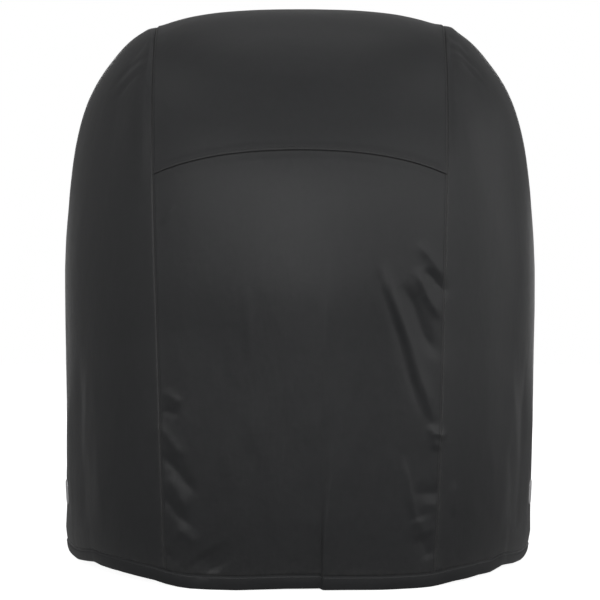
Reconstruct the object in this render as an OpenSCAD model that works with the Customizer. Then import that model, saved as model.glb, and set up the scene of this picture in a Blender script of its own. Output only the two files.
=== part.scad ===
// Fabric cover for a free-standing outdoor grill, in millimetres.
// +Z is up, the front faces -Y, and the origin is on the ground under the middle of the cover.
// The cover is sewn from five panels. They all lie on one skin, given by skin_point().

/* [Overall size] */
// Width across the sides
cover_w = 910; // [820:10:1000]
// Depth from front to back
cover_d = 810; // [740:10:900]
// Height of the crown above the hem
cover_h = 1050; // [980:10:1150]

/* [Body shape] */
// Height at which the front and back stand furthest out
full_z = 580; // [520:10:640]
// Height at which the sides begin to lean in
shoulder_z = 395; // [350:5:450]
// Squareness of the shoulders seen from the front, 2 being round
shoulder_n = 3.7; // [2.6:0.1:5]
// Squareness of the crown seen from the side, 2 being round
crown_n = 2.6; // [2.3:0.1:3.5]
// Height below which the plan changes from an ellipse to the shape of the hem
plan_z = 450; // [350:10:520]
// Power of the width in the plan of the hem, 2 being an ellipse
hem_width_n = 3.2; // [2:0.1:3.6]
// Power of the depth in the plan of the hem, 2 being an ellipse and 1 a pinched side
hem_depth_n = 1.3; // [1.2:0.05:2]
// How far the middle of each side's hem rides up
side_lift = 11; // [0:1:24]
// How far the front hem is set in
front_set_in = 24; // [0:2:40]
// How far the back hem is set in
back_set_in = 10; // [0:2:40]
// Share of its width by which the hem is drawn in at the sides
side_draw = 0.012; // [0:0.002:0.02]

/* [Panels and seams] */
// Thickness of the coated fabric as a solid
fabric_t = 1.5; // [1:0.1:2]
// Half the distance between the two long seams at the hem
seam_hem_x = 238; // [200:2:260]
// Half the distance between the two long seams at the crown
seam_crown_x = 275; // [220:5:300]
// Height of the arc seam at its middle, before the shoulders draw it down
yoke_z = 755; // [700:5:800]
// How much lower the arc seam meets the long seams
yoke_sag = 23; // [0:1:40]
// Width of the tape bound over each seam inside
tape_w = 24; // [16:2:30]
// Thickness of the seam tape
tape_t = 0.8; // [0.5:0.1:1.2]

/* [Hem] */
// Height of the turned-up hem band
hem_h = 24; // [18:1:28]
// Thickness of the folded hem band
hem_t = 3; // [2.5:0.1:4]

/* [Fastening straps] */
// Width of the strap webbing
strap_w = 25; // [20:1:28]
// Thickness of the strap webbing
strap_t = 1.6; // [1.2:0.1:2]
// Height of the patches that the straps are sewn and closed on
patch_h = 32; // [30:1:40]
// Thickness of those patches
patch_t = 1.5; // [1:0.1:2]
// Thickness of the hook patch on each strap
hook_t = 1.2; // [0.8:0.1:1.6]
// Gap between a strap and what it lies against
strap_gap = 1; // [0.8:0.1:1.5]

/* [Badge and label] */
// Height of the oval badge on each side
badge_h = 48; // [36:1:60]
// Width of the badge
badge_w = 26; // [20:1:34]
// Thickness of the badge
badge_t = 1.8; // [0.8:0.1:2]
// Height of the middle of the badge
badge_z = 134; // [100:2:300]
// Plan angle of the middle of the badge, 90 being the middle of a side
badge_a = 77; // [70:1:88]
// Thickness of the care label
label_t = 0.6; // [0.4:0.1:1]

/* [Hidden] */

// Grid of the skin: cells across the middle, across a side, up the skirt and up the dome.
middle_cells = 8;
side_cells = 7;
low_cells = 6;
high_cells = 6;
// Cells, counted from the seam tape, that the strap patches cover.
patch_cell = 4;
// Share of the way from hem to crown that belongs to the upright skirt.
skirt_s = 0.45;
// Place of the long seams at the hem, as a share of half the width.
seam_r = seam_hem_x / (cover_w / 2);

// Room left between two pieces that are sewn together face to face.
sewn_gap = 0.1;
// Depth of the tapes' outer face under the skin.
under_tape = fabric_t + sewn_gap;
// How sharply the hem rides up from the long seam to the middle of a side.
lift_power = 1.2;
// Steps in a and t between the points that give the skin's slope.
slope_a = 0.2;
slope_t = 0.002;
// Plan angle beyond which the skin faces straight out to the side.
side_middle_a = 89.9;
// Extra distance of a strap's sewn end from its patch.
sewn_end_inset = 0.6;
// Where the hook patch starts and ends, as shares of the strap's bent end.
hook_start = 0.08;
hook_stop = 0.96;
// Sides of the circle that rounds the badge.
badge_facets = 48;
// Plan angle from the middle of the badge to just past its flanks.
badge_span_a = 4;

// Columns of the grid. The half tape beside each long seam is a cell of its own.
middle_columns = middle_cells + 2;
side_columns = side_cells + 1;
// Column of the back panel where the care label starts.
label_column = middle_columns - 4;

function share(v) = min(max(v, 0), 1);
function mix(a, b, k) = a + (b - a) * k;
function backwards(list) = [for (i = [len(list) - 1:-1:0]) list[i]];
function from(list, first) = [for (i = [first:len(list) - 1]) list[i]];
function round_off(v, n) = pow(max(1 - pow(share(v), n), 0), 1 / n);

// The profile at the middle, where s runs from 0 at a hem to 1 at the crown.
function dome_angle(s) = 90 * share((s - skirt_s) / (1 - skirt_s));
function dome_r(angle) = pow(pow(cos(angle), crown_n) + pow(sin(angle), crown_n), -1 / crown_n);
function dome_y(s) = cos(dome_angle(s)) * dome_r(dome_angle(s));
function dome_z(s) = sin(dome_angle(s)) * dome_r(dome_angle(s));
function profile_y(s, set_in) = cover_d / 2 * dome_y(s) - set_in * pow(1 - share(s / skirt_s), 2);
function profile_z(s) = full_z * share(s / skirt_s) + (cover_h - full_z) * dome_z(s);
function dome_s(rise) = skirt_s + (1 - skirt_s) * atan(rise / round_off(rise, crown_n)) / 90;
function s_at(z) = z < full_z ? skirt_s * z / full_z : dome_s((z - full_z) / (cover_h - full_z));

function half_width(z) = cover_w / 2 * (1 - side_draw * pow(share(1 - z / shoulder_z), 2));

// A point of the skin: a is the plan angle from -90 at the left side to 90 at the right side,
// and t runs from 0 at the front hem over the crown, at 1, to 2 at the back hem.
function skin_point(a, t) =
    let (
        back = t > 1,
        s = back ? 2 - t : t,
        y = profile_y(s, back ? back_set_in : front_set_in),
        z = profile_z(s),
        low = share(1 - z / plan_z),
        width_n = mix(2, hem_width_n, low),
        depth_n = mix(2, hem_depth_n, low),
        depth = pow(max(1 - pow(abs(sin(a)), width_n), 0), 1 / depth_n),
        crown = mix(shoulder_z / cover_h, 1, round_off(abs(sin(a)), shoulder_n)),
        beyond_seam = share((abs(sin(a)) - seam_r) / (1 - seam_r)),
        lift = side_lift * pow(beyond_seam, lift_power) * low,
        height = z * (1 - (1 - crown) * (1 - pow(1 - z / cover_h, 2))) + lift,
        width = half_width(height)
    )
    [width * sin(a), (back ? y : -y) * depth, height];

function along_a(a, t) = skin_point(a + slope_a, t) - skin_point(a - slope_a, t);
function along_t(a, t) =
    skin_point(a, min(t + slope_t, 2)) - skin_point(a, max(t - slope_t, 0));
function unit(v) = v / norm(v);
function level(v, t) = t == 0 || t == 2 ? [v[0], v[1], 0] : v;
function skin_normal(a, t) =
    abs(a) > side_middle_a ? [sign(a), 0, 0] : unit(level(cross(along_a(a, t), along_t(a, t)), t));
function under_skin(a, t, depth) = skin_point(a, t) - depth * skin_normal(a, t);

// Columns of the grid, as plan angles.
function plan_angle(x) = asin(x / (cover_w / 2));
function seam_x(s) = mix(seam_hem_x, seam_crown_x, s);
function middle_x(i, s) =
    i == 0 ? -seam_x(s)
    : i == middle_columns ? seam_x(s)
    : (seam_x(s) - tape_w / 2) * (2 * (i - 1) / middle_cells - 1);
function middle_a(i, s) = plan_angle(middle_x(i, s));
function tape_edge_a(s) = plan_angle(seam_x(s) + tape_w / 2);
function side_a(j, s) =
    j == 0 ? plan_angle(seam_x(s)) : mix(tape_edge_a(s), 90, (j - 1) / side_cells);

// Rows of the grid, as s. bow is 0 at the middle of the cover and 1 at the long seams.
hem_s = s_at(hem_h);
patch_s = s_at(hem_h + patch_h);
function yoke_s(bow, rise) = s_at(yoke_z - yoke_sag * bow + rise);
function low_rows(bow) = concat(
    [hem_s],
    [for (i = [0:low_cells]) mix(patch_s, yoke_s(bow, -tape_w / 2), i / low_cells)],
    [yoke_s(bow, 0)]
);
function high_rows(bow) = concat(
    [yoke_s(bow, 0)],
    [for (i = [0:high_cells]) mix(yoke_s(bow, tape_w / 2), 1, i / high_cells)]
);
function over_crown(rows) = concat(rows, [for (s = from(backwards(rows), 1)) 2 - s]);
function to_back(rows) = [for (s = backwards(rows)) 2 - s];
function s_of(t) = t > 1 ? 2 - t : t;
function bow_of(i) = pow(middle_x(i, skirt_s) / seam_x(skirt_s), 2);

// Grids of [a, t] pairs, one list for each column.
function middle_grid(first, last, kind) = [
    for (i = [first:last])
        let (rows = low_rows(bow_of(i)), high = high_rows(bow_of(i)), edge = len(rows) - 2)
        [
            for (t = kind == "front" ? rows
                : kind == "back" ? to_back(rows)
                : kind == "top" ? over_crown(high)
                : kind == "front tape" ? [rows[edge], high[0], high[1]]
                : [2 - high[1], 2 - high[0], 2 - rows[edge]])
            [middle_a(i, s_of(t)), t]
        ]
];
full_rows = over_crown(concat(low_rows(1), from(high_rows(1), 1)));
side_grid = [for (j = [0:side_columns]) [for (t = full_rows) [side_a(j, s_of(t)), t]]];
last_bow = bow_of(middle_columns - 1);
tape_rows = over_crown(concat(low_rows(last_bow), from(high_rows(last_bow), 1)));
seam_grid = [
    for (k = [-1, 0, 1])
        [
            for (t = k < 0 ? tape_rows : full_rows)
                [plan_angle(seam_x(s_of(t)) + k * tape_w / 2), t]
        ]
];
front_hem_grid = [for (i = [0:middle_columns]) [for (s = [0, hem_s]) [middle_a(i, s), s]]];
back_hem_grid = [
    for (i = [middle_columns:-1:0]) [for (s = [0, hem_s]) [middle_a(i, s), 2 - s]]
];
side_hem_grid = concat(
    [for (j = [0:side_columns]) [for (s = [0, hem_s]) [side_a(j, s), s]]],
    [for (j = [side_columns - 1:-1:0]) [for (s = [0, hem_s]) [side_a(j, s), 2 - s]]]
);

// A piece of cloth on a grid, from depth outer to depth inner under the skin. A folded piece
// closes on its last column, where the front half meets the back half at the middle of a side.
// An even piece lies across the middle, and its left half is split as the mirror of its right.
module cloth(grid, outer, inner, folded = false, even = false) {
    columns = len(grid);
    rows = len(grid[0]);
    half = (rows - 1) / 2;
    kept = [for (c = [0:columns - 1]) folded && c == columns - 1 ? half : rows - 1];
    count = (columns - 1) * rows + kept[columns - 1] + 1;
    function at(c, r, layer) =
        layer * count + c * rows + (folded && c == columns - 1 ? min(r, rows - 1 - r) : r);
    function turned(c) = even && c < (columns - 1) / 2;
    function quad(a, b, c, d, turn = false) =
        turn ? [[a, b, d], [b, c, d]] : [[a, b, c], [a, c, d]];
    points = [
        for (depth = [outer, inner], c = [0:columns - 1], r = [0:kept[c]])
            under_skin(grid[c][r][0], grid[c][r][1], depth)
    ];
    faces = [
        for (c = [0:columns - 2], r = [0:rows - 2])
            each quad(
                at(c, r, 0), at(c, r + 1, 0), at(c + 1, r + 1, 0), at(c + 1, r, 0), turned(c)
            ),
        for (c = [0:columns - 2], r = [0:rows - 2])
            each quad(
                at(c, r, 1), at(c + 1, r, 1), at(c + 1, r + 1, 1), at(c, r + 1, 1), turned(c)
            ),
        for (c = [0:columns - 2])
            each quad(at(c, 0, 0), at(c + 1, 0, 0), at(c + 1, 0, 1), at(c, 0, 1)),
        for (c = [0:columns - 2], r = [rows - 1])
            each quad(at(c + 1, r, 0), at(c, r, 0), at(c, r, 1), at(c + 1, r, 1)),
        for (r = [0:rows - 2])
            each quad(at(0, r + 1, 0), at(0, r, 0), at(0, r, 1), at(0, r + 1, 1)),
        for (c = folded ? [] : [columns - 1], r = [0:rows - 2])
            each quad(at(c, r + 1, 0), at(c, r + 1, 1), at(c, r, 1), at(c, r, 0))
    ];
    polyhedron(points, faces);
}

module side_panel() color("#3b3c3e") cloth(side_grid, 0, fabric_t, folded = true);
module side_hem() color("#303133") cloth(side_hem_grid, 0, hem_t);
module seam_tape() color("#222324") cloth(seam_grid, under_tape, under_tape + tape_t);

module middle_panel(kind) {
    cloth(middle_grid(0, middle_columns, kind), 0, fabric_t, even = true);
}
module front_panel() color("#3f4042") middle_panel("front");
module back_panel() color("#3f4042") middle_panel("back");
module top_panel() color("#434446") middle_panel("top");
module right_side_panel() side_panel();
module left_side_panel() mirror([1, 0, 0]) side_panel();

module front_hem() color("#303133") cloth(front_hem_grid, 0, hem_t, even = true);
module back_hem() color("#303133") cloth(back_hem_grid, 0, hem_t, even = true);
module right_hem() side_hem();
module left_hem() mirror([1, 0, 0]) side_hem();

module right_seam_tape() seam_tape();
module left_seam_tape() mirror([1, 0, 0]) seam_tape();
module yoke_tape(kind) {
    color("#222324")
        cloth(middle_grid(1, middle_columns - 1, kind), under_tape, under_tape + tape_t, even = true);
}
module front_yoke_tape() yoke_tape("front tape");
module back_yoke_tape() yoke_tape("back tape");

// The patch that a strap is sewn on is one cell of the front half of a side, just above the hem,
// and the loop patch that it closes on is the same cell of the back half.
module side_patch(back) {
    cell = [
        for (j = back ? [patch_cell + 1, patch_cell] : [patch_cell, patch_cell + 1])
            [for (s = [hem_s, patch_s]) [side_a(j, s), back ? 2 - s : s]]
    ];
    color(back ? "#2c2c30" : "#1c1c1e") cloth(cell, fabric_t, fabric_t + patch_t);
}

// Plan of a right-hand strap. It starts on the front patch, runs straight to the back patch
// and bends there to lie along it.
strap_s = s_at(hem_h + patch_h / 2);
inside_patch = fabric_t + patch_t;
function flat(p) = [p[0], p[1]];
function patch_corner(j, t, depth) = flat(under_skin(side_a(j, strap_s), t, depth));
strap_start_depth = inside_patch + strap_gap + strap_t / 2 + sewn_end_inset;
strap_start = patch_corner(patch_cell + 1, strap_s, strap_start_depth);
strap_line_depth = inside_patch + strap_gap + hook_t + strap_t / 2;
strap_bend = patch_corner(patch_cell + 1, 2 - strap_s, strap_line_depth);
strap_end = patch_corner(patch_cell, 2 - strap_s, strap_line_depth);
hook_first = mix(strap_bend, strap_end, hook_start);
hook_last = mix(strap_bend, strap_end, hook_stop);
function left_of(a, b) = unit([a[1] - b[1], b[0] - a[0]]);
function bend_side(a, b, c) = unit(left_of(a, b) + left_of(b, c));
function patch_z(j) = skin_point(side_a(j, strap_s), strap_s)[2];
strap_bottom = mix(patch_z(patch_cell), patch_z(patch_cell + 1), 0.5) - strap_w / 2;

module band(bottom) translate([0, 0, bottom]) linear_extrude(strap_w) children();
module strap() {
    side = strap_t / 2;
    first = side * left_of(strap_start, strap_bend);
    middle = side * bend_side(strap_start, strap_bend, strap_end);
    last = side * left_of(strap_bend, strap_end);
    color("#161618") band(strap_bottom)
        polygon([
            strap_start + first, strap_bend + middle, strap_end + last,
            strap_end - last, strap_bend - middle, strap_start - first
        ]);
}
module strap_hook() {
    near = -strap_t / 2 * left_of(strap_bend, strap_end);
    far = near * (1 + 2 * hook_t / strap_t);
    color("#35353a") band(strap_bottom)
        polygon([hook_first + near, hook_last + near, hook_last + far, hook_first + far]);
}

module right_strap_anchor() side_patch(false);
module left_strap_anchor() mirror([1, 0, 0]) side_patch(false);
module right_loop_patch() side_patch(true);
module left_loop_patch() mirror([1, 0, 0]) side_patch(true);
module right_strap() strap();
module left_strap() mirror([1, 0, 0]) strap();
module right_strap_hook() strap_hook();
module left_strap_hook() mirror([1, 0, 0]) strap_hook();

// Place of a badge on the skin: its middle, and the directions out of it, across it and up it.
badge_middle = skin_point(badge_a, s_at(badge_z));
badge_out = skin_normal(badge_a, s_at(badge_z));
badge_across = unit([-badge_out[1], badge_out[0], 0]);
badge_up = cross(badge_out, badge_across);
// How far the skin behind the badge bulges out past a flat sheet through its middle.
badge_bulge = max([
    for (a = [badge_a - badge_span_a:1:badge_a + badge_span_a], k = [-1:0.25:1])
        badge_out * (skin_point(a, s_at(badge_z + k * badge_h / 2)) - badge_middle)
]);

// Plain oval badge with straight flanks, sewn flat on the outside of a side.
module badge() {
    flank = (badge_h - badge_w) / 2;
    foot = badge_middle + (badge_bulge + sewn_gap) * badge_out;
    color("#c9cacc")
        multmatrix([
            for (i = [0:2]) [badge_across[i], badge_up[i], badge_out[i], foot[i]]
        ])
            linear_extrude(badge_t) {
                for (k = [-1, 1]) translate([0, k * flank]) circle(d = badge_w, $fn = badge_facets);
                square([badge_w, 2 * flank], center = true);
            }
}
module right_badge() badge();
module left_badge() mirror([1, 0, 0]) badge();

// Blank label inside the back panel, above the hem.
module care_label() {
    cell = [
        for (i = [label_column, label_column + 1])
            [for (s = [patch_s, hem_s]) [middle_a(i, s), 2 - s]]
    ];
    color("#e8e8e4") cloth(cell, fabric_t, fabric_t + label_t);
}

front_panel();
top_panel();
back_panel();
left_side_panel();
right_side_panel();
front_hem();
back_hem();
left_hem();
right_hem();
left_seam_tape();
right_seam_tape();
front_yoke_tape();
back_yoke_tape();
left_strap_anchor();
right_strap_anchor();
left_loop_patch();
right_loop_patch();
left_strap();
right_strap();
left_strap_hook();
right_strap_hook();
left_badge();
right_badge();
care_label();
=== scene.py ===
"""Looks of the grill cover: five sewn panels of coated cloth, a turned hem, top-stitching and side straps.

The cloth lies on the same skin as the CAD panels. Folds, seams and hem are relief along that skin's normal,
worked out from a point's place, so that pieces which meet carry the same folds.
"""

import math

import bpy
import numpy as np
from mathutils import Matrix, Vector


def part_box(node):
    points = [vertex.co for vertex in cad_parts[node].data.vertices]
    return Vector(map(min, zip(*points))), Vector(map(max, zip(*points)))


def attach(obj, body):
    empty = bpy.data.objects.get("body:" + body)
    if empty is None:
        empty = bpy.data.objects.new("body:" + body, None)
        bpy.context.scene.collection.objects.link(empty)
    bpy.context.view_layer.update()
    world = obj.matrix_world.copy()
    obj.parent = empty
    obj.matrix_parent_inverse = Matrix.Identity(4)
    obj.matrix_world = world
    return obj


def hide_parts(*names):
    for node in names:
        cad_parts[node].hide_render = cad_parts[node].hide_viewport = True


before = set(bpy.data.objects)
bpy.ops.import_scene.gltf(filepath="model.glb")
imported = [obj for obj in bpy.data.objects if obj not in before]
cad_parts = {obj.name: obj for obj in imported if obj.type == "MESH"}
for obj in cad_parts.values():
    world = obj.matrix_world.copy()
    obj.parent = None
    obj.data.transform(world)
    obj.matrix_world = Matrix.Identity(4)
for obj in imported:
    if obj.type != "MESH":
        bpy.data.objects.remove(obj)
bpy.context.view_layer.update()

# ---------------------------------------------------------------- sizes, in metres
BODY = "cover"
HALF_W = 0.455
HALF_D = 0.405
HEIGHT = 1.05
HEM_H = 0.024  # height of the turned hem band
FULL_Z = 0.58  # where the front and back stand furthest out
SHOULDER_Z = 0.395  # where the sides begin to lean in
PLAN_Z = 0.45  # below this the plan turns into the hem's shape
LOW_POWER = 1.4  # how slowly it begins to turn into it
SIDE_LIFT, LIFT_POWER = 0.011, 1.2  # rise of the hem from the seams to the sides, and its power
FRONT_SET_IN, BACK_SET_IN = 0.024, 0.010  # how far the hem stands in from the fullest place
SIDE_DRAW = 0.012  # share by which the sides draw in down to the hem
SHOULDER_N, CROWN_N = 3.7, 2.6  # powers of the rounding across the shoulders and over the crown
HEM_WIDTH_N, HEM_DEPTH_N = 3.2, 1.3  # powers of the plan at the hem; an ellipse has 2
SKIRT_S = 0.45  # share of the way from hem to crown at FULL_Z
SEAM_HEM_X, SEAM_CROWN_X = 0.238, 0.275  # the long seams at the hem and at the crown
YOKE_Z, YOKE_SAG = 0.755, 0.023  # the arc seam at the middle, and its fall to the long seams
CLOTH_T = 0.0009  # thickness of the coated cloth
HEM_T = 0.0024  # thickness of the turned hem

CAMERA_DISTANCE = 3.005
CAMERA_HEIGHT = 0.498
LENS_MM = 91.9
VIEW_PLANE = 2.62  # folds are placed on an upright plane this far from the camera

SIDES = {"right": 1, "left": -1}
STEP = 0.003  # between the points of the front's grid
PLAIN_STEP, SIDE_STEP = STEP * 1.2, STEP * 1.15  # the same for the top and back, and for the sides


def share(v):
    return np.clip(v, 0.0, 1.0)


def mix(a, b, k):
    return a + (b - a) * k


def smooth(v):
    v = share(v)
    return v * v * (3 - 2 * v)


def bell(d, width):
    return np.exp(-((d / width) ** 2))


def round_off(v, n):
    return np.maximum(1 - share(v) ** n, 0) ** (1 / n)


def unit(v):
    return v / np.maximum(np.linalg.norm(v, axis=-1, keepdims=True), 1e-12)


def grid_normals(grid):
    return unit(np.cross(np.gradient(grid, axis=0), np.gradient(grid, axis=1)))


def cumulative(grid, axis=0):
    """Length along the rows of a grid of points, from their first point."""
    step = np.linalg.norm(np.diff(grid, axis=axis), axis=-1)
    zero = np.zeros_like(np.take(step, [0], axis))
    return np.concatenate([zero, np.cumsum(step, axis=axis)], axis=axis)


def picked(values, picks):
    """Values at places in their row, which may lie between two of them."""
    return np.interp(picks, np.arange(len(values)), values)


def points_at(marks, cum, line):
    return np.stack([np.interp(marks, cum, column) for column in line.T], -1)


# ---------------------------------------------------------------- the skin
def dome(s):
    """The dome's profile at the middle, as shares of the half depth and of the rise above FULL_Z."""
    angle = share((s - SKIRT_S) / (1 - SKIRT_S)) * math.pi / 2
    c, v = np.maximum(np.cos(angle), 0), np.sin(angle)
    r = (c**CROWN_N + v**CROWN_N) ** (-1 / CROWN_N)
    return c * r, v * r


def s_at(z):
    """Share of the way from hem to crown at a height on the middle line."""
    rise = share((z - FULL_Z) / (HEIGHT - FULL_Z))
    dome_s = SKIRT_S + (1 - SKIRT_S) * np.arctan2(rise, round_off(rise, CROWN_N)) / (math.pi / 2)
    return np.where(z < FULL_Z, SKIRT_S * z / FULL_Z, dome_s)


def low_share(z0):
    """How far the plan has turned into the hem's shape, from 0 at PLAN_Z to 1 at the hem."""
    return share(1 - z0 / PLAN_Z) ** LOW_POWER


def crown_share(r):
    return mix(SHOULDER_Z / HEIGHT, 1, round_off(r, SHOULDER_N))


def lift_at(r):
    seam_r = SEAM_HEM_X / HALF_W
    return SIDE_LIFT * share((r - seam_r) / (1 - seam_r)) ** LIFT_POWER


def draw_at(z):
    return 1 - SIDE_DRAW * share(1 - z / SHOULDER_Z) ** 2


def depth_share(r, z0):
    low = low_share(z0)
    width_n, depth_n = mix(2, HEM_WIDTH_N, low), mix(2, HEM_DEPTH_N, low)
    return np.maximum(1 - share(r) ** width_n, 0) ** (1 / depth_n)


def half_depth(s, back):
    return HALF_D * dome(s)[0] - np.where(back, BACK_SET_IN, FRONT_SET_IN) * (1 - share(s / SKIRT_S)) ** 2


def skin(angle, t):
    """Points at a plan angle (0 in front) and t: 0 at the front hem, 1 at the crown, 2 at the back hem."""
    angle, t = np.broadcast_arrays(np.asarray(angle, float), np.asarray(t, float))
    back = t > 1
    s = np.where(back, 2 - t, t)
    z0 = FULL_Z * share(s / SKIRT_S) + (HEIGHT - FULL_Z) * dome(s)[1]
    r = np.abs(np.sin(angle))
    low = low_share(z0)
    z = z0 * (1 - (1 - crown_share(r)) * (1 - (1 - z0 / HEIGHT) ** 2)) + lift_at(r) * low
    y = half_depth(s, back) * depth_share(r, z0)
    return np.stack([HALF_W * draw_at(z) * np.sin(angle), np.where(back, y, -y), z], -1)


ANGLE_STEP, T_STEP = 0.003, 0.0015  # between the points that give the skin's slope
FACES_SIDE = 0.004  # within this angle of the side the skin faces straight out


def skin_normal(angle, t):
    angle, t = np.broadcast_arrays(np.asarray(angle, float), np.asarray(t, float))
    left, right = np.maximum(angle - ANGLE_STEP, -math.pi / 2), np.minimum(angle + ANGLE_STEP, math.pi / 2)
    up = skin(angle, np.minimum(t + T_STEP, 2)) - skin(angle, np.maximum(t - T_STEP, 0))
    n = unit(np.cross(skin(right, t) - skin(left, t), up))
    side = np.abs(np.abs(angle) - math.pi / 2) < FACES_SIDE
    n[side] = np.sign(angle[side])[:, None] * (1, 0, 0)
    return n


def skin_and_normal(angle, t, sign=1):
    """Points and normals on the right (sign 1), or of the mirrored place on the left (sign -1)."""
    return skin(angle, t) * (sign, 1, 1), skin_normal(angle, t) * (sign, 1, 1)


def profile_height(r, z):
    """Height on the middle line of points at height z and a share r of the half width, in Newton's steps."""
    steps, least_share, least_slope = 14, 0.3, 0.08
    lean, lift = 1 - crown_share(r), lift_at(r)
    z0 = z / np.maximum(1 - lean * share(z / HEIGHT), least_share)
    for _ in range(steps):
        q = z0 / HEIGHT
        wrong = z0 * (1 - lean * (2 * q - q * q)) + lift * low_share(z0) - z
        lift_slope = lift * LOW_POWER / PLAN_Z * share(1 - z0 / PLAN_Z) ** (LOW_POWER - 1)
        slope = 1 - lean * (4 * q - 3 * q * q) - lift_slope
        z0 = np.clip(z0 - wrong / np.maximum(slope, least_slope), 0, HEIGHT)
    return z0


def outside(p):
    """Whether points are outside the skin."""
    r = np.abs(p[..., 0]) / (HALF_W * draw_at(p[..., 2]))
    z0 = profile_height(np.minimum(r, 1), p[..., 2])
    reach = half_depth(s_at(z0), p[..., 1] > 0) * depth_share(r, z0)
    top = HEIGHT * crown_share(np.minimum(r, 1))
    return (p[..., 2] > top) | (r > 1) | (np.abs(p[..., 1]) > reach)


def seam_x(s):
    return mix(SEAM_HEM_X, SEAM_CROWN_X, s)


def seam_angle(s, across=1.0):
    return np.arcsin(across * seam_x(s) / HALF_W)


def yoke_s(bow):
    """Share of the way up of the arc seam; bow is 0 at the middle and 1 at the long seams."""
    return s_at(YOKE_Z - YOKE_SAG * bow)


def s_of(t):
    return np.where(t > 1, 2 - t, t)


HEM_S = float(s_at(HEM_H))
SHOULDER_S = 0.80  # where the side panel's upper corners are, on the long seams


# ---------------------------------------------------------------- relief of the cloth
CELLS = 32  # cells each way before the noise repeats
LATTICES = [np.random.default_rng(seed).standard_normal((CELLS, CELLS, CELLS)) for seed in range(2)]


def noise(p, scale, seed):
    """Smooth noise of about unit size; scale is the size of its features along x, y and z."""
    q = p / np.asarray(scale, float)
    low = np.floor(q).astype(int)
    f = smooth(q - low)
    out = 0
    for i in (0, 1):
        for j in (0, 1):
            for k in (0, 1):
                w = (
                    (f[..., 0] if i else 1 - f[..., 0])
                    * (f[..., 1] if j else 1 - f[..., 1])
                    * (f[..., 2] if k else 1 - f[..., 2])
                )
                cell = (low + (i, j, k)) % CELLS
                out = out + w * LATTICES[seed][cell[..., 0], cell[..., 1], cell[..., 2]]
    return out


# Folds as they are seen from the front, on the view plane: height (a valley is below 0), the width of the
# flank on the left and on the right of the way down, and the points (x, z) that the fold runs through.
# All in millimetres.
FRONT_FOLDS = [
    # fan of folds that hangs from the rim towards the right seam
    (-3.0, 8, 7, [(127, 562), (139, 528), (154, 488), (174, 430), (190, 368), (206, 316), (222, 280)]),
    (5.2, 8, 11, [(139, 570), (150, 524), (165, 480), (187, 424), (204, 364), (222, 310), (240, 272)]),
    (-4.0, 11, 11, [(172, 530), (192, 498), (214, 438), (240, 390)]),
    (3.4, 7, 9, [(196, 558), (216, 506), (242, 460)]),
    (-3.4, 8, 9, [(212, 554), (233, 528), (255, 502)]),
    (2.2, 9, 11, [(198, 600), (226, 566), (250, 528)]),
    # kink and dimples below them, along the right seam
    (2.8, 6, 10, [(222, 288), (227, 270), (234, 236)]),
    (2.4, 5, 8, [(226, 272), (250, 262)]),
    (-1.8, 12, 12, [(192, 165), (222, 168), (246, 166)]),
    (1.1, 10, 10, [(206, 148), (240, 146)]),
    (1.9, 7, 5, [(176, 234), (188, 172), (197, 130), (206, 104)]),
    (2.0, 14, 16, [(200, 128), (214, 90)]),
    (-2.0, 12, 12, [(204, 96), (226, 52)]),
    # folds that leave the left seam
    (1.2, 9, 9, [(-240, 344), (-200, 318)]),
    (-1.2, 8, 8, [(-240, 310), (-206, 300)]),
    (1.9, 10, 10, [(-246, 292), (-218, 250), (-198, 222)]),
    (-2.3, 9, 10, [(-244, 240), (-212, 206), (-176, 158)]),
    (1.7, 10, 10, [(-230, 200), (-212, 170), (-192, 134)]),
    (-1.9, 8, 9, [(-238, 168), (-212, 130), (-180, 106)]),
    (1.8, 11, 11, [(-216, 110), (-170, 78)]),
    (-1.2, 9, 9, [(-236, 64), (-204, 44)]),
    (-3.6, 24, 26, [(-170, 66), (-146, 26)]),
    (1.0, 5, 5, [(-240, 626), (-212, 664)]),
    # faint upright ridges of the middle
    (0.7, 9, 9, [(-89, 540), (-88, 380)]),
    (0.9, 10, 10, [(46, 546), (44, 380), (50, 200)]),
    # fine gathers of the shoulders
    (-1.1, 4, 4, [(-251, 914), (-273, 906), (-294, 892), (-322, 860)]),
    (-1.1, 4, 4, [(-252, 894), (-272, 884), (-291, 870), (-312, 846), (-326, 832)]),
    (0.8, 4, 4, [(-252, 904), (-273, 895), (-293, 881), (-318, 853)]),
    (-1.1, 4, 4, [(247, 946), (271, 935), (292, 914)]),
    (-1.1, 4, 4, [(245, 932), (274, 918), (302, 894), (326, 862)]),
    (-1.1, 4, 4, [(250, 914), (278, 904), (308, 874), (336, 832)]),
    (0.8, 4, 4, [(246, 939), (273, 926), (298, 903)]),
    (0.8, 4, 4, [(248, 923), (276, 911), (306, 884), (331, 846)]),
    (-0.9, 5, 5, [(252, 853), (278, 836), (302, 808)]),
    # stripes down the sides
    (1.3, 7, 7, [(363, 378), (371, 280), (377, 190)]),
    (-1.8, 8, 8, [(356, 276), (362, 180), (363, 88)]),
    (0.8, 9, 9, [(329, 260), (331, 110)]),
    (1.0, 8, 8, [(262, 190), (263, 122)]),
    (1.3, 6, 6, [(-365, 395), (-371, 190)]),
    (-1.0, 10, 10, [(-350, 330), (-352, 110)]),
]
# Upright folds of the sides: height, width, and (y, z) of the top and the foot, in millimetres.
SIDE_FOLDS = [
    (2.4, 26, [(-205, 430), (-236, 40)]),
    (-2.6, 22, [(-150, 400), (-168, 40)]),
    (2.6, 30, [(-92, 360), (-100, 40)]),
    (-2.0, 26, [(20, 330), (26, 40)]),
    (2.8, 30, [(112, 380), (120, 40)]),
    (-2.6, 24, [(176, 420), (190, 40)]),
    (2.0, 26, [(226, 440), (246, 40)]),
]
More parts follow.
